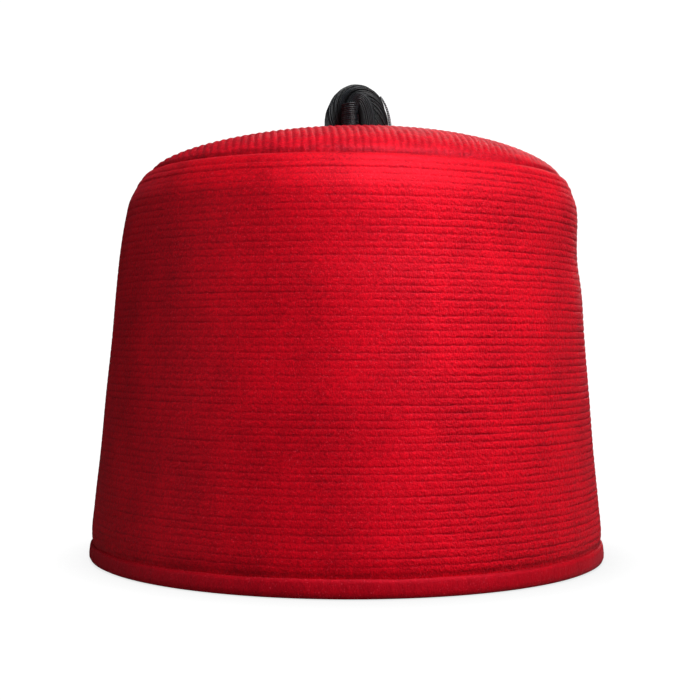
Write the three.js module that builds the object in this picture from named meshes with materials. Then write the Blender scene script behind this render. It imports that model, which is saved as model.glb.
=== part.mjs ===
// A tall fez of corded velvet with a bound rim and a black silk tassel.
// Millimetres, +Z up, +X to the wearer's left, -Y to the front. The origin is the centre of the
// rim, on the surface that the hat rests on.
import * as THREE from "three";

// ---- Driving dimensions -------------------------------------------------------------------
const COLUMNS = 64; // facets round every ring of the hat
const FRONT_DIP = 1.6; // how far the crown's edge dips at the front and the back
const GAP = 0.3; // clearance between neighbouring pieces

const WALL_THICKNESS = 3.0; // velvet, stiffener and backing together
const BOUND_THICKNESS = 2.0; // the wall where the binding grips it
const WALL_FOOT_Z = 1.5; // the wall's raw lower edge, inside the binding

// The wall from the binding up to the crown's edge. r: outer radius at height z. lean: how far
// the ring's centre stands towards +X. tilt: how far the ring drops at +X and rises at -X.
const WALL_RINGS = [
  { z: 6.7, r: 93.7, lean: 0.0, tilt: 0.0 },
  { z: 9.0, r: 94.2, lean: 0.0, tilt: 0.0 },
  { z: 40.0, r: 91.2, lean: 0.2, tilt: 0.0 },
  { z: 80.0, r: 87.7, lean: 0.5, tilt: 0.0 },
  { z: 98.0, r: 86.2, lean: 0.6, tilt: 0.0 },
  { z: 109.0, r: 84.8, lean: 0.4, tilt: 0.0 },
  { z: 117.0, r: 84.4, lean: 1.0, tilt: 0.2 },
  { z: 124.0, r: 83.9, lean: 1.7, tilt: 0.5 },
  { z: 129.0, r: 83.0, lean: 2.2, tilt: 0.9 },
  { z: 133.0, r: 81.6, lean: 2.6, tilt: 1.1 },
  { z: 136.5, r: 79.9, lean: 2.9, tilt: 1.3 },
  { z: 139.5, r: 78.0, lean: 3.2, tilt: 1.4 },
  { z: 141.4, r: 76.6, lean: 3.4, tilt: 1.5 },
];
const EDGE = { crestZ: 141.9, crestR: 75.6, lipZ: 141.2, lipR: 74.5, lean: 3.5, tilt: 1.5 };
const LIP_DEPTH = 2.0; // how far the wall's turned-in edge reaches down

// The padded crown: a pillow that springs from inside the wall's edge. fullness: the power that
// rounds its profile, lower for a flatter top and a steeper edge.
const CROWN = { baseZ: 140.6, spread: 76, rise: 16.2, fullness: 2 / 3, lean: 3.2 };
const CROWN_EDGE = { r: 74.2, skirtZ: 138.6, thickness: 2.5 };
const CROWN_STATIONS = [0.992, 0.94, 0.85, 0.72, 0.55, 0.36, 0.18]; // shares of the edge's radius

// The velvet tape folded over the rim. roll: how far its edges are rounded off.
const BINDING = { height: 6.3, outerR: 95.1, thickness: 1.3, roll: 0.45, footInset: 1.2 };

// The tassel's two arches of thread on the crown: upright legs at left and right, a round top.
const ARCH_FULLNESS = 0.8; // the power that rounds an arch, lower for a squarer one
const LOOP_ARCH = { left: -5.1, right: 11.7, footZ: 157.4, topZ: 171.7, y: 1.6 };
const LOOP_THREAD = { radius: 3.6, sides: 12, steps: 24 };
const KNOT_ARCH = { left: 0.9, right: 7.5, footZ: 157.3, topZ: 169.2, y: -5.0 };
const KNOT_THREAD = { radius: 2.9, sides: 10, steps: 18 };

// The silver twist beside the loop, from this share of the loop's length to its foot.
const SILVER_START = 0.68;
const SILVER_THREAD = { radius: 0.75, sides: 8, steps: 16 };

// The tassel's skirt of strands, lying back over the crown and down behind the wall.
// y, z: the middle of the bundle. width, thick: its section. wrap: the radius it is bent round.
const SKIRT_X = 3.3;
const SKIRT_SIDES = 16;
const SKIRT_SECTIONS = [
  { y: 5.7, z: 167.4, width: 13, thick: 5.2, wrap: 60 },
  { y: 11.5, z: 165.4, width: 14, thick: 6.2, wrap: 60 },
  { y: 20.0, z: 161.2, width: 16, thick: 6.4, wrap: 80 },
  { y: 32.0, z: 159.2, width: 19, thick: 6.0, wrap: 90 },
  { y: 46.0, z: 155.9, width: 22, thick: 5.6, wrap: 95 },
  { y: 58.0, z: 152.6, width: 24, thick: 5.4, wrap: 95 },
  { y: 68.0, z: 149.0, width: 26, thick: 5.2, wrap: 90 },
  { y: 76.0, z: 145.2, width: 28, thick: 5.0, wrap: 86 },
  { y: 82.0, z: 140.4, width: 29, thick: 5.0, wrap: 86 },
  { y: 86.2, z: 133.6, width: 30, thick: 5.0, wrap: 87 },
  { y: 87.6, z: 124.0, width: 31, thick: 5.0, wrap: 88 },
  { y: 88.2, z: 110.0, width: 32, thick: 5.0, wrap: 88 },
  { y: 89.9, z: 94.0, width: 33, thick: 5.0, wrap: 90 },
  { y: 91.3, z: 78.0, width: 34, thick: 5.0, wrap: 91 },
  { y: 92.4, z: 62.0, width: 35, thick: 4.6, wrap: 92 },
  { y: 92.9, z: 50.0, width: 35, thick: 3.8, wrap: 93 },
];

// ---- Closed surfaces from rows of points ------------------------------------------------------

// A closed BufferGeometry from rows of points, each row a closed loop of the same length.
// close: "loop" joins the last row to the first, "caps" fills both ends with a fan,
// "poles" expects the first and last rows to be single points.
function surfaceFromRows(rows, close) {
  const positions = [];
  const starts = rows.map((row) => {
    const start = positions.length / 3;
    row.forEach((point) => positions.push(point.x, point.y, point.z));
    return start;
  });
  const indices = [];
  const bridge = (a, b) => {
    const count = Math.max(rows[a].length, rows[b].length);
    for (let i = 0; i < count; i++) {
      const next = (i + 1) % count;
      const at = (row, column) => starts[row] + (rows[row].length === 1 ? 0 : column);
      if (rows[a].length > 1) indices.push(at(a, i), at(a, next), at(b, i));
      if (rows[b].length > 1) indices.push(at(a, next), at(b, next), at(b, i));
    }
  };
  for (let row = 0; row + 1 < rows.length; row++) bridge(row, row + 1);
  if (close === "loop") bridge(rows.length - 1, 0);
  if (close === "caps") {
    const cap = (row, flip) => {
      const middle = rows[row].reduce((sum, point) => sum.add(point), new THREE.Vector3());
      middle.divideScalar(rows[row].length);
      const centre = positions.length / 3;
      positions.push(middle.x, middle.y, middle.z);
      rows[row].forEach((_, i) => {
        const a = starts[row] + i;
        const b = starts[row] + ((i + 1) % rows[row].length);
        indices.push(centre, flip ? b : a, flip ? a : b);
      });
    };
    cap(0, true);
    cap(rows.length - 1, false);
  }
  const geometry = new THREE.BufferGeometry();
  geometry.setAttribute("position", new THREE.Float32BufferAttribute(positions, 3));
  geometry.setIndex(indices);
  geometry.computeVertexNormals();
  return geometry;
}

// One ring round the hat, at radius r and height z, leaning and tilting as the soft wall does.
function hatRing({ z, r, lean, tilt }) {
  const dip = tilt * (FRONT_DIP / EDGE.tilt);
  return Array.from({ length: COLUMNS }, (_, i) => {
    const angle = (2 * Math.PI * i) / COLUMNS;
    const [c, s] = [Math.cos(angle), Math.sin(angle)];
    return new THREE.Vector3(lean + r * c, r * s, z - tilt * c - dip * s * s);
  });
}

// ---- The hat's pieces ---------------------------------------------------------------------------

// Corded velvet on a stiffener: a tapered wall whose upper edge rolls over and turns in.
function sideWall() {
  const foot = { r: BINDING.outerR - BINDING.thickness - GAP, lean: 0, tilt: 0 };
  const outside = [
    { ...foot, z: WALL_FOOT_Z },
    { ...foot, z: BINDING.height },
    ...WALL_RINGS,
    { z: EDGE.crestZ, r: EDGE.crestR, lean: EDGE.lean, tilt: EDGE.tilt },
    { z: EDGE.lipZ, r: EDGE.lipR, lean: EDGE.lean, tilt: EDGE.tilt },
    { z: EDGE.lipZ - LIP_DEPTH, r: EDGE.lipR, lean: EDGE.lean, tilt: EDGE.tilt },
  ];
  // The inner face keeps the wall's thickness, measured square to the outer face, and stops
  // short of the turned-in lip.
  const last = WALL_RINGS.length - 1;
  const inside = WALL_RINGS.map((ring, i) => {
    const below = WALL_RINGS[Math.max(i - 1, 1)];
    const above = WALL_RINGS[Math.min(i + 1, last)];
    const slope = Math.atan2(below.r - above.r, Math.max(above.z - below.z, 1));
    return {
      ...ring,
      r: ring.r - WALL_THICKNESS * Math.cos(slope),
      z: ring.z - WALL_THICKNESS * Math.sin(slope),
    };
  });
  const lipFoot = EDGE.lipZ - LIP_DEPTH;
  const clear = inside.filter((ring) => ring.z < lipFoot - WALL_THICKNESS / 3);
  const innerFoot = { ...foot, r: foot.r - BOUND_THICKNESS };
  const rings = [
    ...outside,
    ...clear.reverse(),
    { ...innerFoot, z: BINDING.height },
    { ...innerFoot, z: WALL_FOOT_Z },
  ];
  return surfaceFromRows(rings.map(hatRing), "loop");
}

// The height of the crown's outer face at radius r.
function crownHeight(r) {
  return CROWN.baseZ + CROWN.rise * (1 - (r / CROWN.spread) ** 2) ** CROWN.fullness;
}

// A domed round of corded velvet over padding, its edge tucked down inside the wall's lip.
function crownTop() {
  const { r: edgeR, skirtZ, thickness } = CROWN_EDGE;
  const ring = (r, z) => {
    const share = (r / edgeR) ** 4; // the dome follows the edge's lean and tilt only near the edge
    const lean = CROWN.lean + (EDGE.lean - CROWN.lean) * share;
    return hatRing({ z, r, lean, tilt: EDGE.tilt * share });
  };
  const pole = (z) => [new THREE.Vector3(CROWN.lean, 0, z)];
  const radii = CROWN_STATIONS.map((share) => share * edgeR);
  const outer = radii.map((r) => ring(r, crownHeight(r)));
  const inner = radii.map((r) => ring(r - thickness * (r / edgeR), crownHeight(r) - thickness));
  const rows = [
    pole(crownHeight(0) - thickness),
    ...inner.reverse(),
    ring(edgeR - thickness, skirtZ),
    ring(edgeR, skirtZ),
    ring(edgeR, EDGE.lipZ),
    ...outer,
    pole(crownHeight(0)),
  ];
  return surfaceFromRows(rows, "poles");
}

// Smooth velvet tape folded over the rim: an outer flap, a flat foot and an inner flap.
function rimBinding() {
  const { height, outerR, thickness, roll, footInset } = BINDING;
  const wallOut = outerR - thickness; // the outer flap's hidden face
  const wallIn = wallOut - 2 * GAP - BOUND_THICKNESS; // the inner flap's hidden face
  const innerR = wallIn - thickness;
  const fold = WALL_FOOT_Z - GAP; // the hidden face of the fold under the wall's foot
  const section = [
    { r: outerR - footInset, z: 0 },
    { r: outerR - roll, z: 2 * roll },
    { r: outerR, z: 0.4 * height },
    { r: outerR, z: 0.7 * height },
    { r: outerR - roll, z: height - roll },
    { r: outerR - 2 * roll, z: height },
    { r: wallOut, z: height - roll },
    { r: wallOut, z: fold },
    { r: wallIn, z: fold },
    { r: wallIn, z: height - roll },
    { r: innerR + roll, z: height },
    { r: innerR, z: height - 2 * roll },
    { r: innerR, z: 4 * roll },
    { r: innerR + footInset, z: 0 },
  ];
  return surfaceFromRows(section.map((p) => hatRing({ ...p, lean: 0, tilt: 0 })), "loop");
}

// ---- The tassel's pieces --------------------------------------------------------------------------

// An arch in a plane of constant y: two upright legs joined by a rounded top.
function archCurve({ left, right, footZ, topZ, y }) {
  const middle = (left + right) / 2;
  const half = (right - left) / 2;
  const bends = 12;
  const points = Array.from({ length: bends + 1 }, (_, i) => {
    const angle = (Math.PI * i) / bends;
    const lift = (topZ - footZ) * Math.max(Math.sin(angle), 0) ** ARCH_FULLNESS;
    return new THREE.Vector3(middle - half * Math.cos(angle), y, footZ + lift);
  });
  return new THREE.CatmullRomCurve3(points);
}

// A round bundle of thread along a curve, closed at both ends.
function bundle(curve, { radius, sides, steps }) {
  const section = new THREE.Shape();
  for (let i = 0; i < sides; i++) {
    const angle = (2 * Math.PI * i) / sides;
    const corner = [radius * Math.cos(angle), radius * Math.sin(angle)];
    if (i === 0) {
      section.moveTo(...corner);
    } else {
      section.lineTo(...corner);
    }
  }
  return new THREE.ExtrudeGeometry(section, { extrudePath: curve, steps, bevelEnabled: false });
}

// The thick skein that arches over the knot.
function tasselLoop() {
  return bundle(archCurve(LOOP_ARCH), LOOP_THREAD);
}

// The tight knot of wound thread in front of the skein.
function tasselKnot() {
  return bundle(archCurve(KNOT_ARCH), KNOT_THREAD);
}

// A thin black and silver twist that runs down the +X side of the skein to the crown.
function silverTwist() {
  const skein = archCurve(LOOP_ARCH);
  const reach = LOOP_THREAD.radius + SILVER_THREAD.radius + GAP;
  const bends = 8;
  const points = Array.from({ length: bends + 1 }, (_, i) => {
    const share = SILVER_START + ((1 - SILVER_START) * i) / bends;
    const along = skein.getTangentAt(share);
    const outward = new THREE.Vector3(-along.z, 0, along.x);
    return skein.getPointAt(share).addScaledVector(outward, reach);
  });
  return bundle(new THREE.CatmullRomCurve3(points), SILVER_THREAD);
}

// The skirt of strands, a flat bundle bent round the crown and the wall behind it.
function tasselSkirt() {
  const route = SKIRT_SECTIONS.map(({ y, z }) => new THREE.Vector2(y, z));
  const rows = SKIRT_SECTIONS.map(({ y, z, width, thick, wrap }, i) => {
    const before = route[Math.max(i - 1, 0)];
    const after = route[Math.min(i + 1, route.length - 1)];
    const along = after.clone().sub(before).normalize();
    const out = new THREE.Vector2(-along.y, along.x); // square to the route, away from the hat
    return Array.from({ length: SKIRT_SIDES }, (_, k) => {
      const angle = (-2 * Math.PI * k) / SKIRT_SIDES;
      const across = (width / 2) * Math.cos(angle);
      const proud = (thick / 2) * Math.sin(angle) - across ** 2 / (2 * wrap);
      return new THREE.Vector3(SKIRT_X + across, y + proud * out.x, z + proud * out.y);
    });
  });
  return surfaceFromRows(rows, "caps");
}

// ---- Assembly -------------------------------------------------------------------------------------

function material(color, roughness, metalness = 0) {
  return new THREE.MeshStandardMaterial({ color, roughness, metalness });
}

const cordedVelvet = material(0xb00418, 0.9);
const plainVelvet = material(0xb80a20, 0.85);
const blackSilk = material(0x16181b, 0.5);
const silverThread = material(0xb9bbbe, 0.4, 0.5);

const PIECES = [
  ["side_wall", sideWall, cordedVelvet],
  ["crown_top", crownTop, cordedVelvet],
  ["rim_binding", rimBinding, plainVelvet],
  ["tassel_loop", tasselLoop, blackSilk],
  ["tassel_knot", tasselKnot, blackSilk],
  ["tassel_skirt", tasselSkirt, blackSilk],
  ["silver_twist", silverTwist, silverThread],
];

const fez = new THREE.Group();
for (const [name, shape, finish] of PIECES) {
  const mesh = new THREE.Mesh(shape(), finish);
  mesh.name = name;
  fez.add(mesh);
}

export default fez;
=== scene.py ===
import math

import bpy
import numpy as np
from mathutils import Matrix, Vector


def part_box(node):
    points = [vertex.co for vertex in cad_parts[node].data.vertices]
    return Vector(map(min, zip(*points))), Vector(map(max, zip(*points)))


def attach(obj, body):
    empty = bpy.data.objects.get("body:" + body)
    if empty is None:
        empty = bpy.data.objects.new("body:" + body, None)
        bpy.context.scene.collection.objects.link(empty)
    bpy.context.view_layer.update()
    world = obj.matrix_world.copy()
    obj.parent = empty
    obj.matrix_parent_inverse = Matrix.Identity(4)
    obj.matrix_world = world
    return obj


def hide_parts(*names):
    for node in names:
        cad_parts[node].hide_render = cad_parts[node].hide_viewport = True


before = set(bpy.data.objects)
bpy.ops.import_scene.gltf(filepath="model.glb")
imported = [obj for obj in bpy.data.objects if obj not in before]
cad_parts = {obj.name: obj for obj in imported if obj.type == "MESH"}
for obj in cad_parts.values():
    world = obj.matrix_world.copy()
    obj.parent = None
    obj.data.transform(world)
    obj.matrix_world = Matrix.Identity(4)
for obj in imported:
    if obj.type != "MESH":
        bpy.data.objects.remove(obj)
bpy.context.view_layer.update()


# ---- Table top, light and camera ------------------------------------------------------------
# A hat on a white studio table. The key lamp hangs close above the front right, and weaker
# lamps stand to the right, front and left, so the left flank falls into deep red.
MM = 0.001
TABLE_HALF = 3.0
EYE = Vector((1.25 * MM, -508 * MM, 80.3 * MM))
AIM = Vector((1.25 * MM, 0, 75.8 * MM))
LENS_MM = 69.43
ROLL_DEG = 0.2


def nodes_of(tree):
    """A short way to add a node to a tree, with its values and links, and get it back."""
    def add(kind, inputs=None, **settings):
        node = tree.nodes.new("ShaderNode" + kind)
        for name, value in settings.items():
            setattr(node, name, value)
        for name, value in (inputs or {}).items():
            if isinstance(value, bpy.types.NodeSocket):
                tree.links.new(value, node.inputs[name])
            else:
                node.inputs[name].default_value = value
        return node
    return add


def lamp(name, place, aim, size, power, colour=(1, 1, 1)):
    """A soft square lamp that looks at a point."""
    light = bpy.data.lights.new(name, "AREA")
    light.shape = "RECTANGLE"
    light.size, light.size_y = size
    light.energy = power
    light.color = colour
    holder = bpy.data.objects.new(name, light)
    holder.location = place
    holder.rotation_euler = (Vector(aim) - Vector(place)).to_track_quat("-Z", "Y").to_euler()
    bpy.context.scene.collection.objects.link(holder)
    return holder


table = bpy.data.objects.new("table_top", bpy.data.meshes.new("table_top"))
table.data.from_pydata(
    [(x * TABLE_HALF, y * TABLE_HALF, 0) for x, y in ((-1, -1), (1, -1), (1, 1), (-1, 1))], [], [(0, 1, 2, 3)]
)
table.location.z = -0.2 * MM
bpy.context.scene.collection.objects.link(table)

# The table is seen as bright white with a faint contact shadow, but throws back little light.
table_white = bpy.data.materials.new("white_table")
table_white.use_nodes = True
table_white.node_tree.nodes.clear()
add = nodes_of(table_white.node_tree)
contact = add("AmbientOcclusion", {"Distance": 0.05}, samples=8)
shade = add("MapRange", {"Value": contact.outputs["AO"], "From Min": 0.35, "From Max": 0.9, "To Min": 0.8, "To Max": 1.08})
seen = add("Emission", {"Color": (1, 1, 1, 1), "Strength": shade.outputs["Result"]})
thrown = add("BsdfDiffuse", {"Color": (0.16, 0.16, 0.16, 1)})
is_seen = add("LightPath")
mixed = add("MixShader", {0: is_seen.outputs["Is Camera Ray"], 1: thrown.outputs[0], 2: seen.outputs[0]})
below = add("NewGeometry").outputs["Backfacing"]
passed = add("Math", {0: below, 1: is_seen.outputs["Is Shadow Ray"]}, operation="MAXIMUM").outputs[0]
clear = add("BsdfTransparent")
one_sided = add("MixShader", {0: passed, 1: mixed.outputs[0], 2: clear.outputs[0]})
add("OutputMaterial", {"Surface": one_sided.outputs[0]})
table.data.materials.append(table_white)

world = bpy.data.worlds.new("studio")
world.use_nodes = True
world.node_tree.nodes.clear()
add = nodes_of(world.node_tree)
is_seen = add("LightPath")
strength = add("MapRange", {"Value": is_seen.outputs["Is Camera Ray"], "To Min": 0.015, "To Max": 1.08})
sky = add("Background", {"Color": (1, 1, 1, 1), "Strength": strength.outputs["Result"]})
add("OutputWorld", {"Surface": sky.outputs[0]})
bpy.context.scene.world = world
bpy.context.scene.view_settings.view_transform = "Standard"

lamp("key", (0.13, -0.225, 0.45), (0, 0, 0.08), (0.25, 0.25), 1.95)
lamp("right", (0.34, -0.3, 0.28), (0, 0, 0.08), (0.25, 0.25), 0.82)
lamp("front", (-0.23, -0.85, 0.27), (0, 0, 0.08), (0.5, 0.5), 0.3)
lamp("left", (-0.8, -0.37, 0.27), (0, 0, 0.08), (0.5, 0.5), 0.9)
lamp("back", (0.2, 0.8, 0.35), (0, 0, 0.08), (0.5, 0.5), 2.5)
# A narrow lamp under the table shines up through it into the hollow of the hat.
inside_lamp = lamp("inside", (0, 0, -0.25), (0, 0, 0.1), (0.03, 0.03), 0.5)
inside_lamp.data.spread = math.radians(36)

eye = bpy.data.cameras.new("camera")
eye.lens = LENS_MM
eye.sensor_width = 36
camera = bpy.data.objects.new("camera", eye)
camera.matrix_world = (
    Matrix.Translation(EYE)
    @ (AIM - EYE).to_track_quat("-Z", "Y").to_matrix().to_4x4()
    @ Matrix.Rotation(math.radians(ROLL_DEG), 4, "Z")
)
bpy.context.scene.collection.objects.link(camera)
bpy.context.scene.camera = camera


# ---- Side wall --------------------------------------------------------------------------------
# The tapered body: red cotton velvet woven with raised horizontal cords, over a stiffener. Its
# shoulder is soft and leans a little to +X, and its upper edge is turned in round the crown.
RIM_R = (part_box("rim_binding")[1].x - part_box("rim_binding")[0].x) / 2 / MM
FRONT_DIP = -0.5  # how far the wall's edge dips at front and back
WALL_THICK = 3.0
WALL_COLUMNS = 310
CORD_PITCH = 2.35
EDGE_CORD = 3.4  # the widest cord, along the turned edge
CORD_DEPTH = 0.3

# r: outer radius, z: height, lean: the ring's centre towards +X, tilt: its drop at +X. In mm.
WALL_RINGS = [
    dict(r=93.8, z=4.5, lean=0.2, tilt=0.0),
    dict(r=94.2, z=9.0, lean=0.2, tilt=0.0),
    dict(r=93.3, z=20.0, lean=0.2, tilt=0.0),
    dict(r=91.2, z=40.0, lean=0.3, tilt=0.0),
    dict(r=89.5, z=60.0, lean=0.4, tilt=0.0),
    dict(r=87.6, z=80.0, lean=0.6, tilt=0.0),
    dict(r=86.2, z=98.0, lean=0.7, tilt=0.0),
    dict(r=84.9, z=109.0, lean=0.5, tilt=0.0),
    dict(r=84.3, z=117.0, lean=1.0, tilt=0.2),
    dict(r=83.7, z=124.0, lean=1.7, tilt=0.5),
    dict(r=82.9, z=129.0, lean=2.1, tilt=0.6),
    dict(r=81.5, z=132.5, lean=2.4, tilt=0.7),
    dict(r=80.1, z=135.2, lean=2.7, tilt=0.8),
    dict(r=78.8, z=137.3, lean=3.0, tilt=0.9),
    dict(r=77.7, z=138.7, lean=3.2, tilt=0.9),
    dict(r=76.9, z=139.2, lean=3.3, tilt=0.9),
    dict(r=76.2, z=138.6, lean=3.3, tilt=0.9),
    dict(r=76.1, z=137.0, lean=3.3, tilt=0.9),
]
rng = np.random.default_rng(20)


def curve_through(rings):
    """A smooth profile through rows of r, z, lean and tilt: its length, and a function from
    distances along it to those four values and the outward direction in r and z."""
    rows = np.array([[ring["r"], ring["z"], ring["lean"], ring["tilt"]] for ring in rings])
    at = np.concatenate([[0], np.cumsum(np.linalg.norm(np.diff(rows[:, :2], axis=0), axis=1))])
    slope = np.gradient(rows, at, axis=0)

    def value(distance):
        distance = np.clip(distance, 0, at[-1])
        k = np.clip(np.searchsorted(at, distance, side="right") - 1, 0, len(at) - 2)
        step = (at[k + 1] - at[k])[..., None]
        t = (distance - at[k])[..., None] / step
        return (
            (2 * t**3 - 3 * t**2 + 1) * rows[k]
            + (t**3 - 2 * t**2 + t) * step * slope[k]
            + (3 * t**2 - 2 * t**3) * rows[k + 1]
            + (t**3 - t**2) * step * slope[k + 1]
        )

    def profile(distance):
        ahead, behind = value(distance + 0.4), value(distance - 0.4)
        along = ahead[..., :2] - behind[..., :2]
        along /= np.maximum(np.linalg.norm(along, axis=-1, keepdims=True), 1e-9)
        return value(distance), np.stack([along[..., 1], -along[..., 0]], axis=-1)

    return at[-1], profile


def wander(angles, waves, size, lines):
    """Smooth random curves round the hat, one for each line, from a few sine waves each."""
    total = np.zeros((lines, len(angles)))
    for wave in waves:
        phase = rng.uniform(0, 2 * math.pi, (lines, 1))
        turns = np.maximum(1, rng.normal(wave, wave * 0.25, (lines, 1)).round())
        total += np.sin(turns * angles + phase) * rng.uniform(0.5, 1.0, (lines, 1))
    return size * total / math.sqrt(len(waves))


def on_hat(r, z, lean, tilt, angle):
    """A point of a leaning, tilting ring, in metres."""
    dip = tilt * FRONT_DIP / WALL_RINGS[-1]["tilt"]
    x = lean + r * np.cos(angle)
    y = r * np.sin(angle)
    z = z - tilt * np.cos(angle) - dip * np.sin(angle) ** 2
    return np.stack(np.broadcast_arrays(x, y, z), axis=-1) * MM


def new_mesh(name, points, faces, materials, values=None, face_material=None):
    """A smooth-shaded object from arrays of points and faces, with named values at its points."""
    mesh = bpy.data.meshes.new(name)
    mesh.from_pydata(np.asarray(points).reshape(-1, 3).tolist(), [], np.asarray(faces).tolist())
    for material in materials:
        mesh.materials.append(material)
    mesh.polygons.foreach_set("use_smooth", np.ones(len(mesh.polygons), bool))
    if face_material is not None:
        mesh.polygons.foreach_set("material_index", np.asarray(face_material, np.int32))
    for label, numbers in (values or {}).items():
        layer = mesh.attributes.new(label, "FLOAT", "POINT")
        layer.data.foreach_set("value", np.asarray(numbers, np.float32).ravel())
    mesh.update()
    made = bpy.data.objects.new(name, mesh)
    bpy.context.scene.collection.objects.link(made)
    return made


def ring_faces(rows, columns, closed):
    """Quads between rings of points, and from the last ring to the first if closed."""
    row = np.arange(rows if closed else rows - 1)[:, None]
    column = np.arange(columns)[None, :]
    above, beside = (row + 1) % rows, (column + 1) % columns
    corners = [row * columns + column, row * columns + beside, above * columns + beside, above * columns + column]
    return np.stack(np.broadcast_arrays(*corners), axis=-1).reshape(-1, 4)


def velvet_group():
    """Velvet pile: uneven colour, painted shade between the cords, painted glints, and a short upright nap."""
    tree = bpy.data.node_groups.new("velvet_pile", "ShaderNodeTree")
    face = tree.interface
    for name, kind, value in (
        ("Colour", "NodeSocketColor", (0.6, 0.003, 0.012, 1)),
        ("Painted Shade Colour", "NodeSocketColor", (0.2, 0.001, 0.004, 1)),
        ("Painted Shade", "NodeSocketFloat", 0.0),
        ("Nap Stretch", "NodeSocketVector", (2300.0, 2300.0, 900.0)),
        ("Clump Stretch", "NodeSocketVector", (850.0, 850.0, 1000.0)),
        ("Mottle", "NodeSocketFloat", 0.3),
    ):
        socket = face.new_socket(name, in_out="INPUT", socket_type=kind)
        socket.default_value = value
    face.new_socket("Colour", in_out="OUTPUT", socket_type="NodeSocketColor")
    face.new_socket("Height", in_out="OUTPUT", socket_type="NodeSocketFloat")
    add = nodes_of(tree)
    given = tree.nodes.new("NodeGroupInput")
    place = add("TexCoord").outputs["Object"]

    def math_node(operation, a, b):
        return add("Math", {0: a, 1: b}, operation=operation).outputs[0]

    def noise(stretch, detail, roughness=0.6):
        scaled = add("VectorMath", {0: place, 1: stretch}, operation="MULTIPLY").outputs[0]
        return add("TexNoise", {"Vector": scaled, "Scale": 1.0, "Detail": detail, "Roughness": roughness}).outputs["Fac"]

    nap = noise(given.outputs["Nap Stretch"], 3)
    clump = noise(given.outputs["Clump Stretch"], 3)
    patch = noise((60, 60, 45), 3)
    sweep = noise((16, 16, 10), 2)
    # Painted shade between the cords, broken up by noise so that the dark lines come and go.
    broken = add("MapRange", {"Value": noise((55, 55, 420), 2), "From Min": 0.36, "From Max": 0.62, "To Min": 0.35, "To Max": 1})
    painted_shade = math_node("MULTIPLY", given.outputs["Painted Shade"], broken.outputs["Result"])
    base = add("Mix", {0: painted_shade, 6: given.outputs["Colour"], 7: given.outputs["Painted Shade Colour"]}, data_type="RGBA").outputs[2]
    uneven = math_node("ADD", math_node("MULTIPLY", nap, 0.8), math_node("MULTIPLY", clump, 0.7))
    uneven = math_node("ADD", uneven, math_node("MULTIPLY", patch, 0.5))
    uneven = math_node("ADD", uneven, math_node("MULTIPLY", sweep, 0.3))
    swing = math_node("MULTIPLY", math_node("SUBTRACT", uneven, 1.15), given.outputs["Mottle"])
    gain = math_node("MAXIMUM", math_node("ADD", swing, 1.0), 0.2)
    toned = add("VectorMath", {0: base, "Scale": gain}, operation="SCALE").outputs[0]
    # Painted glints: here and there a tiny spot is lifted to a bright red, as if a tuft of pile stood up and caught
    # the light.
    painted_glint = add("MapRange", {"Value": noise((2100, 2100, 2100), 1), "From Min": 0.66, "From Max": 0.74, "To Max": 0.5})
    painted_glint_mix = {0: painted_glint.outputs["Result"], 6: toned, 7: (0.95, 0.06, 0.1, 1)}
    toned = add("Mix", painted_glint_mix, data_type="RGBA").outputs[2]
    height = math_node("ADD", math_node("MULTIPLY", nap, 0.35), math_node("MULTIPLY", clump, 0.65))
    out = tree.nodes.new("NodeGroupOutput")
    tree.links.new(toned, out.inputs["Colour"])
    tree.links.new(height, out.inputs["Height"])
    return tree


velvet_pile = velvet_group()


def velvet(name, colour, painted_shade_colour, bump_mm, sheen, mottle=1.2, **stretches):
    """A velvet material: the pile group over a matt base with a pink sheen."""
    material = bpy.data.materials.new(name)
    material.use_nodes = True
    tree = material.node_tree
    tree.nodes.clear()
    add = nodes_of(tree)
    pile = tree.nodes.new("ShaderNodeGroup")
    pile.node_tree = velvet_pile
    pile.inputs["Colour"].default_value = (*colour, 1)
    pile.inputs["Painted Shade Colour"].default_value = (*painted_shade_colour, 1)
    pile.inputs["Mottle"].default_value = mottle
    for socket, value in stretches.items():
        pile.inputs[socket.replace("_", " ").title()].default_value = value
    # The mesh's painted shade values darken the colour between the cords and in the seams.
    painted_shade = add("Attribute", attribute_name="painted_shade").outputs["Fac"]
    tree.links.new(painted_shade, pile.inputs["Painted Shade"])
    standing = add("Attribute", attribute_name="standing").outputs["Fac"]
    height = add("Math", {0: pile.outputs["Height"], 1: standing}, operation="MULTIPLY").outputs[0]
    bump = add("Bump", {"Height": height, "Distance": bump_mm * MM, "Strength": 1.0})
    cloth = add("BsdfPrincipled", {"Base Color": pile.outputs["Colour"], "Normal": bump.outputs[0], "Roughness": 0.6})
    cloth.inputs["Specular IOR Level"].default_value = 0.5
    cloth.inputs["IOR"].default_value = 2.0
    cloth.inputs["Specular Tint"].default_value = (1, 0.04, 0.1, 1)
    cloth.inputs["Sheen Weight"].default_value = sheen
    cloth.inputs["Sheen Roughness"].default_value = 0.42
    cloth.inputs["Sheen Tint"].default_value = (1.0, 0.22, 0.32, 1)
    add("OutputMaterial", {"Surface": cloth.outputs[0]})
    return material


corded_velvet = velvet("corded_velvet", (0.66, 0.0006, 0.008), (0.24, 0.0004, 0.004), 0.85, 0.1, mottle=1.5)
wall_backing = velvet(
    "wall_backing", (0.26, 0.006, 0.014), (0.1, 0.002, 0.004), 0.25, 0.05, mottle=0.5,
    nap_stretch=(1900.0, 1900.0, 1900.0),
)

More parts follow.
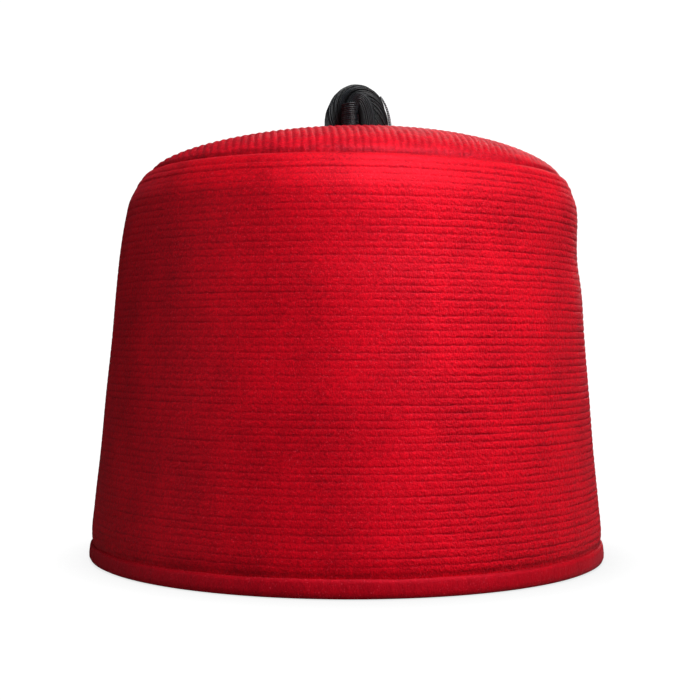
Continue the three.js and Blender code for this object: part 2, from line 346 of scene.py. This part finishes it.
wall_length, wall_profile = curve_through(WALL_RINGS)
wall_angles = np.arange(WALL_COLUMNS) * 2 * math.pi / WALL_COLUMNS
crest_at = wall_length - 3.2  # where the turned edge starts to roll inwards
cords = int(round((crest_at - EDGE_CORD - 3.0) / CORD_PITCH))
cord_starts = 3.0 + np.arange(cords + 1) * (crest_at - EDGE_CORD - 3.0) / cords
cord_starts = cord_starts + np.concatenate([[0], rng.normal(0, 0.07, cords - 1), [0]])
groove_wander = wander(wall_angles, (3, 9, 25, 60, 95, 110), 0.17, cords + 2)
groove_depth = 0.6 + wander(wall_angles, (2, 5, 11, 23, 50, 90), 0.42, cords + 2)
cord_swell = wander(wall_angles, (30, 55, 80, 110), 0.12, cords + 1)
# The pile lies brushed over the grooves, and stands open on the +X side only: there the cords' relief and bump are
# deeper, and the painted shade in the grooves is darker.
open_pile_and_shade = 0.3 + 0.75 / (1 + np.exp(-(np.cos(wall_angles) - 0.33) * 9))

outer_rows = []  # distance along the profile, relief and painted shade at each column
for cord in range(cords + 1):
    start = cord_starts[cord]
    end = cord_starts[cord + 1] if cord < cords else start + EDGE_CORD
    for share in (0.0, 0.11, 0.32, 0.68, 0.89):
        drift = (1 - share) * groove_wander[cord] + share * groove_wander[cord + 1]
        distance = start + (end - start) * share + drift
        near = groove_depth[cord] if share < 0.5 else groove_depth[cord + 1]
        near = np.clip(near, 0.08, 1.25)
        parting = math.exp(-((min(share, 1 - share) / 0.1) ** 2))
        dome = 1 - (2 * share - 1) ** 4
        relief = CORD_DEPTH * ((dome * (0.22 + cord_swell[cord]) - near * parting) * open_pile_and_shade - 0.1)
        relief = relief + (0.22 * dome if cord >= cords - 1 else 0)
        # Painted shade in the grooves between the cords, stronger on the +X side.
        outer_rows.append((distance, relief, near * parting * (0.55 + 0.45 * open_pile_and_shade)))
for share in (0.0, 0.25, 0.5, 0.75, 1.0):
    # Painted shade only in the groove at the foot of the turned edge.
    parting = 1.0 if share == 0 else 0.0
    distance = crest_at + (wall_length - crest_at) * share
    outer_rows.append((np.full(WALL_COLUMNS, distance), CORD_DEPTH * (0.1 - 0.9 * parting), 0.6 * parting))
# The wall's foot, inside the binding, is darkened a little with painted shade.
first_rows = [(np.full(WALL_COLUMNS, distance), 0.0, 0.3) for distance in (0.0, 1.5)]
outer_rows = first_rows + outer_rows

wall_points, wall_painted_shade = [], []
for distance, relief, painted_shade in outer_rows:
    values, out = wall_profile(distance)
    r = values[:, 0] + relief * out[:, 0]
    z = values[:, 1] + relief * out[:, 1]
    wall_points.append(on_hat(r, z, values[:, 2], values[:, 3], wall_angles))
    wall_painted_shade.append(np.broadcast_to(painted_shade, wall_angles.shape))
inner_rows = 22
for distance in np.linspace(wall_length - 6.5, 0, inner_rows):
    values, out = wall_profile(np.full(WALL_COLUMNS, distance))
    thick = WALL_THICK - (1.0 if distance < 3 else 0)
    r = values[:, 0] - thick * out[:, 0]
    z = values[:, 1] - thick * out[:, 1]
    wall_points.append(on_hat(r, z, values[:, 2], values[:, 3], wall_angles))
    # The inside is darkened evenly towards the backing's darker colour.
    wall_painted_shade.append(np.full(WALL_COLUMNS, 0.2))
wall_faces = ring_faces(len(wall_points), WALL_COLUMNS, closed=True)
inside = np.repeat(np.arange(len(wall_points)) >= len(outer_rows), WALL_COLUMNS)
side_wall = new_mesh(
    "side_wall_velvet", wall_points, wall_faces, [corded_velvet, wall_backing],
    {"painted_shade": wall_painted_shade, "standing": np.tile(open_pile_and_shade, len(wall_points))}, inside,
)
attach(side_wall, "root")
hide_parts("side_wall")


# ---- Crown ------------------------------------------------------------------------------------
# A round of the same corded velvet, padded into a low pillow and sewn inside the wall's turned
# edge. Its cords run from front to back, a little askew.
CROWN_EDGE_R = 75.7
CROWN_BASE_Z = 139.6
CROWN_SPREAD = 76.2
CROWN_RISE = 17.7
CROWN_FULLNESS = 0.65
CROWN_LEAN = 4.3
CROWN_SLOPE = 0.006  # how much the top rises towards +X
CROWN_THICK = 2.5
CROWN_PITCH = 2.45
CROWN_DEPTH = 0.27
CROWN_SKEW = math.radians(5)
CROWN_ROWS = 110


def on_crown(across, along, drop):
    """A point of the crown at a distance across and along its cords, that far below its face."""
    r = np.hypot(across, along)
    angle = np.arctan2(along, across) + CROWN_SKEW
    share = (np.minimum(r, CROWN_EDGE_R) / CROWN_EDGE_R) ** 4
    rise = CROWN_RISE * np.maximum(1 - (r / CROWN_SPREAD) ** 2, 0) ** CROWN_FULLNESS
    lean = CROWN_LEAN + (WALL_RINGS[-1]["lean"] - CROWN_LEAN) * share
    slope = CROWN_SLOPE * (1 - share) * r * np.cos(angle)
    return on_hat(r, CROWN_BASE_Z + rise + slope - drop, lean, WALL_RINGS[-1]["tilt"] * share, angle)


crown_cords = int(CROWN_EDGE_R / CROWN_PITCH) + 1
across_at, across_share, cord_index = [], [], []
for cord in range(-crown_cords, crown_cords):
    for share in (0.0, 0.14, 0.32, 0.5, 0.68, 0.86):
        across_at.append((cord + share) * CROWN_PITCH)
        across_share.append(share)
        cord_index.append(cord + crown_cords)
across_at, across_share, cord_index = map(np.array, (across_at, across_share, cord_index))
kept = np.abs(across_at) < CROWN_EDGE_R - 0.05
across_at, across_share, cord_index = across_at[kept], across_share[kept], cord_index[kept]
reach = np.sqrt(CROWN_EDGE_R**2 - across_at**2)
line = np.linspace(-1, 1, CROWN_ROWS)
waves = wander(np.linspace(0, math.pi, CROWN_ROWS), (2, 5, 11), 0.12, 2 * crown_cords + 2).T
depths = np.clip(0.7 + wander(np.linspace(0, math.pi, CROWN_ROWS), (2, 5, 9, 15), 0.35, 2 * crown_cords + 2).T, 0.15, 1.3)
share = across_share[None, :]
drift = (1 - share) * waves[:, cord_index] + share * waves[:, cord_index + 1]
near = np.where(share < 0.5, depths[:, cord_index], depths[:, cord_index + 1])
parting = np.exp(-((np.minimum(share, 1 - share) / 0.14) ** 2)) * near
ridge = np.exp(-(((share - 0.5) / 0.15) ** 2)) * np.clip(near * 1.5, 0, 1)  # pile standing up along each cord's crest; the painted shade is left off there, so the crest reads as lit
along = line[:, None] * reach[None, :]
edge_fade = np.clip((CROWN_EDGE_R - np.hypot(across_at, along)) / 2.0, 0, 1)
relief = CROWN_DEPTH * (1.2 * share * (1 - share) + 0.5 * ridge - parting - 0.2) * (0.4 + 0.6 * edge_fade)
across = across_at[None, :] + drift * edge_fade
top = on_crown(across, along, -relief)
columns = len(across_at)
inner_line = np.sin(np.linspace(-0.5, 0.5, 15) * math.pi)
bottom_scale = (CROWN_EDGE_R - CROWN_THICK) / CROWN_EDGE_R
bottom = on_crown(
    np.broadcast_to(across_at * bottom_scale, (15, columns)),
    inner_line[:, None] * reach[None, :] * bottom_scale, CROWN_THICK + 0 * inner_line[:, None],
)


def boundary(rows, width):
    """The indices round the edge of a grid of points, front edge first, then back to the start."""
    return np.concatenate([np.arange(width), (rows - 1) * width + np.arange(width)[::-1]])


def grid_faces(rows, width, start=0, flip=False):
    """Quads over a grid of points."""
    row, column = np.arange(rows - 1)[:, None], np.arange(width - 1)[None, :]
    corner = start + row * width + column
    faces = np.stack([corner, corner + 1, corner + width + 1, corner + width], axis=-1).reshape(-1, 4)
    return faces[:, ::-1] if flip else faces


edge = boundary(CROWN_ROWS, columns)
skirt_flare = 1 + 0.55 / CROWN_EDGE_R
skirt = on_crown(
    np.concatenate([across_at, across_at[::-1]]) * skirt_flare,
    np.concatenate([-reach, reach[::-1]]) * skirt_flare, 4.2,
)
top_count, skirt_count = CROWN_ROWS * columns, len(edge)
inner_edge = top_count + skirt_count + boundary(15, columns)
skirt_ring = top_count + np.arange(skirt_count)


def band(first, second):
    """Quads from one closed line of points to the next."""
    return np.stack([first, second, np.roll(second, -1), np.roll(first, -1)], axis=-1)


crown_faces = np.concatenate([
    grid_faces(CROWN_ROWS, columns),
    band(edge, skirt_ring),
    band(skirt_ring, inner_edge),
    grid_faces(15, columns, top_count + skirt_count, flip=True),
])
crown_points = np.concatenate([top.reshape(-1, 3), skirt, bottom.reshape(-1, 3)])
# Painted shade: over the cords' flanks but not their crests, in the grooves, towards the edge under the wall's turned
# edge, and full on the crown's sides and underside.
crown_painted_shade = np.concatenate([
    (0.32 * (1 - ridge) + 0.4 * parting * edge_fade + 0.5 * (1 - edge_fade) ** 2).ravel(),
    np.ones(len(crown_points) - top_count),
])
crown_inside = np.arange(len(crown_faces)) >= (CROWN_ROWS - 1) * (columns - 1) + skirt_count
# The crown's velvet is the wall's corded velvet with a darker base colour, which is painted shade.
crown_velvet = velvet(
    "crown_velvet", (0.58, 0.0015, 0.01), (0.22, 0.0004, 0.003), 0.9, 0.08, mottle=1.7,
    nap_stretch=(1300.0, 1300.0, 1300.0), clump_stretch=(480.0, 300.0, 480.0),
)
crown = new_mesh(
    "crown_velvet", crown_points, crown_faces, [crown_velvet, wall_backing],
    {"painted_shade": crown_painted_shade, "standing": np.full(len(crown_points), 0.6)}, crown_inside,
)
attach(crown, "root")
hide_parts("crown_top")


# ---- Rim binding --------------------------------------------------------------------------------
# A strip of smooth velvet folded over the wall's raw lower edge and sewn through, so that it
# stands proud of the wall as a soft, slightly uneven band.
BINDING_HEIGHT = 6.3
BINDING_THICK = 1.3
BINDING_COLUMNS = 360
BINDING_ROLL = 0.9

inner_flap_r = RIM_R - 2 * BINDING_THICK - 2.6
# r, z: the band's section, up the outer flap, down between the flaps and round the inner one.
binding_section = [
    (RIM_R - 0.9, 0.0), (RIM_R - 0.3, 0.3), (RIM_R + 0.1, 1.1), (RIM_R + 0.15, 2.3), (RIM_R, 3.6),
    (RIM_R - 0.12, 4.8), (RIM_R - 0.35, 5.6), (RIM_R - 0.75, 6.1), (RIM_R - 1.15, BINDING_HEIGHT - 0.2),
    (RIM_R - BINDING_THICK, 5.6), (RIM_R - BINDING_THICK, 1.2),
    (inner_flap_r + BINDING_THICK, 1.2), (inner_flap_r + BINDING_THICK, 5.8),
    (inner_flap_r + 0.8, BINDING_HEIGHT), (inner_flap_r + 0.2, 5.8), (inner_flap_r, 4.0),
    (inner_flap_r + 0.2, 1.6), (inner_flap_r + 0.8, 0.4), (inner_flap_r + 1.4, 0.0),
]
binding_angles = np.arange(BINDING_COLUMNS) * 2 * math.pi / BINDING_COLUMNS
band_swell = wander(binding_angles, (4, 11, 27), 0.09, 1)[0]
band_edge = wander(binding_angles, (5, 13, 31, 60), 0.12, 1)[0]
binding_points, binding_painted_shade = [], []
for r, z in binding_section:
    outside = r > RIM_R - BINDING_THICK + 0.01
    swell = band_swell * (0.3 < z < 6.0) if outside else 0
    lift = band_edge * (z / BINDING_HEIGHT) ** 2 if outside else 0
    binding_points.append(on_hat(r + swell, z + lift, 0.3, 0, binding_angles))
    # Painted shade along the top of the outer flap, where it meets the wall.
    binding_painted_shade.append(np.full(BINDING_COLUMNS, 0.5 if z > 5.9 and outside else 0.0))
binding_velvet = velvet(
    "binding_velvet", (0.48, 0.0007, 0.007), (0.2, 0.001, 0.004), 0.4, 0.1, mottle=0.8,
    nap_stretch=(2100.0, 2100.0, 700.0), clump_stretch=(500.0, 500.0, 160.0),
)
binding = new_mesh(
    "rim_binding_velvet", binding_points, ring_faces(len(binding_points), BINDING_COLUMNS, closed=True),
    [binding_velvet], {"painted_shade": binding_painted_shade, "standing": np.ones(len(binding_points) * BINDING_COLUMNS)},
)
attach(binding, "root")
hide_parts("rim_binding")


# ---- Tassel loop --------------------------------------------------------------------------------
# A thick skein of black silk thread, twisted and arched over the middle of the crown. Its plies
# run slantwise, and its ends go down through the crown.
LOOP = dict(left=-5.2, right=11.7, foot=157.2, top=172.2, y=1.6)
LOOP_RADIUS = 3.6
THREAD_R = 0.28


def arch(share, left, right, foot, top, y):
    """A point on an arch with upright legs and a rounded top, in mm."""
    angle = np.pi * share
    x = (left + right) / 2 - (right - left) / 2 * np.cos(angle)
    z = foot + (top - foot) * np.maximum(np.sin(angle), 0) ** 0.8
    return np.stack([x, np.full_like(x, y), z], axis=-1)


def even_arch(count, **shape):
    """Points an even distance apart along an arch, with the outward direction at each."""
    fine = arch(np.linspace(0, 1, 400), **shape)
    run = np.concatenate([[0], np.cumsum(np.linalg.norm(np.diff(fine, axis=0), axis=1))])
    points = np.stack([np.interp(np.linspace(0, run[-1], count), run, fine[:, i]) for i in range(3)], axis=-1)
    along = np.gradient(points, axis=0)
    along /= np.linalg.norm(along, axis=1, keepdims=True)
    return points, np.stack([-along[:, 2], 0 * along[:, 1], along[:, 0]], axis=-1)


def threads(paths, radius, side, sides=5):
    """Points and faces of closed round threads along paths[thread, step], in mm. side is a
    direction that no path runs along. radius holds one number for each thread and step."""
    paths = np.asarray(paths, float)
    count, steps, _ = paths.shape
    radius = np.broadcast_to(np.asarray(radius, float), (count, steps))
    along = np.gradient(paths, axis=1)
    along /= np.maximum(np.linalg.norm(along, axis=-1, keepdims=True), 1e-9)
    across = np.cross(along, side)
    across /= np.maximum(np.linalg.norm(across, axis=-1, keepdims=True), 1e-9)
    other = np.cross(along, across)
    turn = np.arange(sides) * 2 * math.pi / sides
    ring = across[:, :, None] * np.cos(turn)[:, None] + other[:, :, None] * np.sin(turn)[:, None]
    skin = paths[:, :, None] + ring * radius[:, :, None, None]
    points = np.concatenate([skin.reshape(-1, 3), paths[:, 0], paths[:, -1]])
    thread, step, k = np.meshgrid(np.arange(count), np.arange(steps - 1), np.arange(sides), indexing="ij")
    a = (thread * steps + step) * sides + k
    b = (thread * steps + step) * sides + (k + 1) % sides
    quads = np.stack([a, b, b + sides, a + sides], axis=-1).reshape(-1, 4)
    thread, k = np.meshgrid(np.arange(count), np.arange(sides), indexing="ij")
    first = thread * steps * sides
    last = first + (steps - 1) * sides
    start_cap = np.stack([count * steps * sides + thread, first + (k + 1) % sides, first + k], axis=-1)
    end_cap = np.stack([count * (steps + 1) * sides * 0 + count * steps * sides + count + thread, last + k, last + (k + 1) % sides], axis=-1)
    tone = np.repeat(rng.uniform(0, 1, count), steps * sides)
    tone = np.concatenate([tone, np.full(2 * count, 0.5)])
    faces = quads.tolist() + start_cap.reshape(-1, 3).tolist() + end_cap.reshape(-1, 3).tolist()
    return points * MM, faces, tone


def thread_piece(name, bundles, materials):
    """One object from several bundles of threads, each with the material at its index."""
    points, faces, tones, kinds = [], [], [], []
    for (some_points, some_faces, some_tones), kind in bundles:
        start = sum(len(p) for p in points)
        points.append(some_points)
        faces += [[start + i for i in face] for face in some_faces]
        tones.append(some_tones)
        kinds += [kind] * len(some_faces)
    mesh = bpy.data.meshes.new(name)
    mesh.from_pydata(np.concatenate(points).tolist(), [], faces)
    for material in materials:
        mesh.materials.append(material)
    mesh.polygons.foreach_set("use_smooth", np.ones(len(mesh.polygons), bool))
    mesh.polygons.foreach_set("material_index", np.array(kinds, np.int32))
    layer = mesh.attributes.new("tone", "FLOAT", "POINT")
    layer.data.foreach_set("value", np.concatenate(tones).astype(np.float32))
    mesh.update()
    made = bpy.data.objects.new(name, mesh)
    bpy.context.scene.collection.objects.link(made)
    return made


def thread_material(name, dark, light, roughness, sheen, metallic=0.0, coat=0.0):
    """Shiny thread, each strand a little lighter or darker, with fine fibres in it."""
    material = bpy.data.materials.new(name)
    material.use_nodes = True
    tree = material.node_tree
    tree.nodes.clear()
    add = nodes_of(tree)
    tone = add("Attribute", attribute_name="tone").outputs["Fac"]
    place = add("TexCoord").outputs["Object"]
    fibre = add("TexNoise", {"Vector": place, "Scale": 2600.0, "Detail": 2.0}).outputs["Fac"]
    blend = add("Math", {0: tone, 1: fibre}, operation="MULTIPLY").outputs[0]
    colour = add("Mix", {0: blend, 6: (*dark, 1), 7: (*light, 1)}, data_type="RGBA").outputs[2]
    rough = add("MapRange", {"Value": fibre, "To Min": roughness - 0.08, "To Max": roughness + 0.12}).outputs["Result"]
    bump = add("Bump", {"Height": fibre, "Distance": 0.05 * MM, "Strength": 0.8})
    silk = add("BsdfPrincipled", {"Base Color": colour, "Roughness": rough, "Normal": bump.outputs[0]})
    silk.inputs["Metallic"].default_value = metallic
    silk.inputs["Coat Weight"].default_value = coat
    silk.inputs["Sheen Weight"].default_value = sheen
    silk.inputs["Sheen Roughness"].default_value = 0.3
    silk.inputs["Sheen Tint"].default_value = (0.75, 0.88, 1.0, 1)
    add("OutputMaterial", {"Surface": silk.outputs[0]})
    return material


black_silk = thread_material("black_silk", (0.0006, 0.0008, 0.0011), (0.011, 0.016, 0.023), 0.36, 0.02)
silk_core = thread_material("silk_core", (0.002, 0.002, 0.003), (0.004, 0.004, 0.005), 0.8, 0.0)


def skein(points, outward, radius, count, turns, plies, ply_lift, steps_fade=0.0):
    """Threads laid side by side round a bent bundle, grouped in slanting plies."""
    steps = len(points)
    side = np.array([0.0, 1.0, 0.0])
    run = np.linspace(0, 1, steps)[None, :]
    phase = (np.arange(count) * 2 * math.pi / count)[:, None]
    lift = ply_lift * (np.abs(np.cos(plies * phase / 2)) - 0.6)
    turn = phase + 2 * math.pi * turns * run + rng.normal(0, 0.03, (count, 1))
    size = radius + lift + rng.normal(0, 0.05, (count, 1)) + 0.08 * np.sin(9 * run + rng.uniform(0, 6.28, (count, 1)))
    size = size * (1 - steps_fade * (1 - np.sin(math.pi * run) ** 0.5))
    return points[None] + size[..., None] * (
        np.cos(turn)[..., None] * outward[None] + np.sin(turn)[..., None] * side
    )


loop_line, loop_out = even_arch(46, **LOOP)
loop_threads = skein(loop_line, loop_out, LOOP_RADIUS - 0.3, 32, 0.8, 7, 0.35)
loop_under = skein(loop_line, loop_out, LOOP_RADIUS - 0.8, 26, 0.6, 6, 0.1)
loop_core = loop_line[None]
tassel_loop = thread_piece("tassel_loop_silk", [
    (threads(loop_threads, THREAD_R, (0, 1, 0.05)), 0),
    (threads(loop_under, THREAD_R, (0, 1, 0.05)), 0),
    (threads(loop_core, LOOP_RADIUS - 1.0, (0, 1, 0.05), sides=12), 1),
], [black_silk, silk_core])
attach(tassel_loop, "root")
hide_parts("tassel_loop")


# ---- Tassel knot --------------------------------------------------------------------------------
# In front of the loop the tassel's neck: a bight of the same thread whose left leg is whipped
# round and round, while the other leg lies open.
KNOT = dict(left=0.9, right=7.6, foot=157.2, top=169.3, y=-4.7)
KNOT_RADIUS = 2.8
WHIP_TOP = 167.6
WHIP_PITCH = 0.72

knot_line, knot_out = even_arch(40, **KNOT)
knot_threads = skein(knot_line, knot_out, KNOT_RADIUS - 0.3, 24, 0.12, 5, 0.2)
knot_core = knot_line[None]
whip_turns = (WHIP_TOP - KNOT["foot"]) / WHIP_PITCH
whip_at = np.linspace(0, 1, int(whip_turns * 22))
whip_angle = 2 * math.pi * whip_turns * whip_at
whip_r = KNOT_RADIUS + 0.22 + 0.07 * np.sin(3.1 * whip_angle) + 0.1 * np.sin(0.37 * whip_angle)
whip = np.stack([
    KNOT["left"] + whip_r * np.cos(whip_angle),
    KNOT["y"] + whip_r * np.sin(whip_angle),
    KNOT["foot"] + (WHIP_TOP - KNOT["foot"]) * whip_at + 0.3 * np.cos(whip_angle + 0.6),
], axis=-1)
tassel_knot = thread_piece("tassel_knot_silk", [
    (threads(knot_threads, THREAD_R, (0, 1, 0.05)), 0),
    (threads(whip[None], 0.35, (0, 0, 1)), 0),
    (threads(knot_core, KNOT_RADIUS - 0.6, (0, 1, 0.05), sides=12), 1),
], [black_silk, silk_core])
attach(tassel_knot, "root")
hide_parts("tassel_knot")


# ---- Tassel skirt -------------------------------------------------------------------------------
# The tassel's long strands of black silk. They leave the back of the loop, lie over the crown
# and its edge, and hang free down the back of the wall to a trimmed end.
SKIRT_X = 3.3
SKIRT_STRANDS = 300
SKIRT_STEPS = 50
# y, z: the middle of the bundle, width and thick: its section, wrap: the radius it bends round.
SKIRT_SECTIONS = [
    dict(y=4.0, z=167.6, width=11, thick=4.6, wrap=60),
    dict(y=11.5, z=165.4, width=14, thick=6.2, wrap=60),
    dict(y=20.0, z=161.2, width=16, thick=6.4, wrap=80),
    dict(y=32.0, z=159.2, width=19, thick=6.0, wrap=90),
    dict(y=46.0, z=155.9, width=22, thick=5.6, wrap=95),
    dict(y=58.0, z=152.6, width=24, thick=5.4, wrap=95),
    dict(y=68.0, z=149.0, width=26, thick=5.2, wrap=90),
    dict(y=76.0, z=145.2, width=28, thick=5.0, wrap=86),
    dict(y=82.0, z=140.4, width=29, thick=5.0, wrap=86),
    dict(y=86.2, z=133.6, width=30, thick=5.0, wrap=87),
    dict(y=87.6, z=124.0, width=31, thick=5.0, wrap=88),
    dict(y=88.2, z=110.0, width=32, thick=5.0, wrap=88),
    dict(y=89.9, z=94.0, width=33, thick=5.0, wrap=90),
    dict(y=91.3, z=78.0, width=34, thick=5.0, wrap=91),
    dict(y=92.4, z=62.0, width=35, thick=4.6, wrap=92),
    dict(y=92.9, z=50.0, width=36, thick=4.2, wrap=93),
]
sections = np.array([[s["y"], s["z"], s["width"], s["thick"], s["wrap"]] for s in SKIRT_SECTIONS])
section_run = np.concatenate([[0], np.cumsum(np.linalg.norm(np.diff(sections[:, :2], axis=0), axis=1))])
# Strands are spread evenly over the bundle's section, which is an ellipse.
spread = np.sqrt(rng.uniform(0.02, 1, SKIRT_STRANDS))
around = rng.uniform(0, 2 * math.pi, SKIRT_STRANDS)
sideways, proud = spread * np.cos(around), spread * np.sin(around)
length_of = section_run[-1] - np.abs(rng.normal(0, 3.0, SKIRT_STRANDS)) + 1.0
strand_at = np.linspace(0, 1, SKIRT_STEPS)[None, :] * length_of[:, None]
middle = np.stack([np.interp(strand_at, section_run, sections[:, i]) for i in range(5)], axis=-1)
bend = np.gradient(middle[..., :2], axis=1)
bend /= np.linalg.norm(bend, axis=-1, keepdims=True)
free = (strand_at / section_run[-1]) ** 1.5
slow = np.sin(strand_at / rng.uniform(11, 19, (SKIRT_STRANDS, 1)) + rng.uniform(0, 6.28, (SKIRT_STRANDS, 1)))
quick_wave = np.sin(strand_at / rng.uniform(3, 6, (SKIRT_STRANDS, 1)) + rng.uniform(0, 6.28, (SKIRT_STRANDS, 1)))
aside = sideways[:, None] * middle[..., 2] / 2 + 0.45 * slow + 0.12 * quick_wave + rng.normal(0, 1.0, (SKIRT_STRANDS, 1)) * free
height = proud[:, None] * (middle[..., 3] / 2 - 0.35) + 0.12 * quick_wave - aside**2 / (2 * middle[..., 4])
strands = np.stack([
    SKIRT_X + aside,
    middle[..., 0] - height * bend[..., 1],
    middle[..., 1] + height * bend[..., 0],
], axis=-1)
tassel_skirt = thread_piece("tassel_skirt_silk", [
    (threads(strands, 0.36, (1, 0, 0.02), sides=4), 0),
], [black_silk])
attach(tassel_skirt, "root")
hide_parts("tassel_skirt")


# ---- Silver twist -------------------------------------------------------------------------------
# A thin cord of silvered thread twisted with black, laid down the right side of the loop.
SILVER_START = 0.68  # share of the loop's length
SILVER_RADIUS = 0.75
SILVER_GAP = 0.15
SILVER_TURNS = 10

silver_line, silver_out = even_arch(400, **LOOP)
part = np.arange(int(400 * SILVER_START), 400)
silver_line, silver_out = silver_line[part], silver_out[part]
widen = np.linspace(0.45, 1.0, len(part))[:, None]
silver_line = silver_line + silver_out * (LOOP_RADIUS + SILVER_GAP + SILVER_RADIUS * widen)
silver_line[:, 1] -= 0.6


def plied(line, out, offset, turns, phase, size):
    """One ply of a twisted cord about a line."""
    angle = np.linspace(0, 2 * math.pi * turns, len(line)) + phase
    side = np.array([0.0, 1.0, 0.0])
    return line + size * offset * (np.cos(angle)[:, None] * out + np.sin(angle)[:, None] * side)


silver_thread = thread_material("silver_thread", (0.16, 0.16, 0.17), (0.8, 0.81, 0.84), 0.3, 0.0, metallic=0.5)
bright, dull = [], []
for phase in (0.0, 0.55, 3.3):
    bright.append(plied(silver_line, silver_out, 0.5, SILVER_TURNS, phase, widen))
for phase in (1.2, 1.9, 2.5, 4.0, 4.7, 5.4):
    dull.append(plied(silver_line, silver_out, 0.46, SILVER_TURNS, phase, widen))
silver_twist = thread_piece("silver_twist_thread", [
    (threads(bright, 0.2 * widen[:, 0], (0, 1, 0.05), sides=6), 0),
    (threads(dull, 0.2 * widen[:, 0], (0, 1, 0.05), sides=6), 1),
], [silver_thread, black_silk])
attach(silver_twist, "root")
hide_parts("silver_twist")
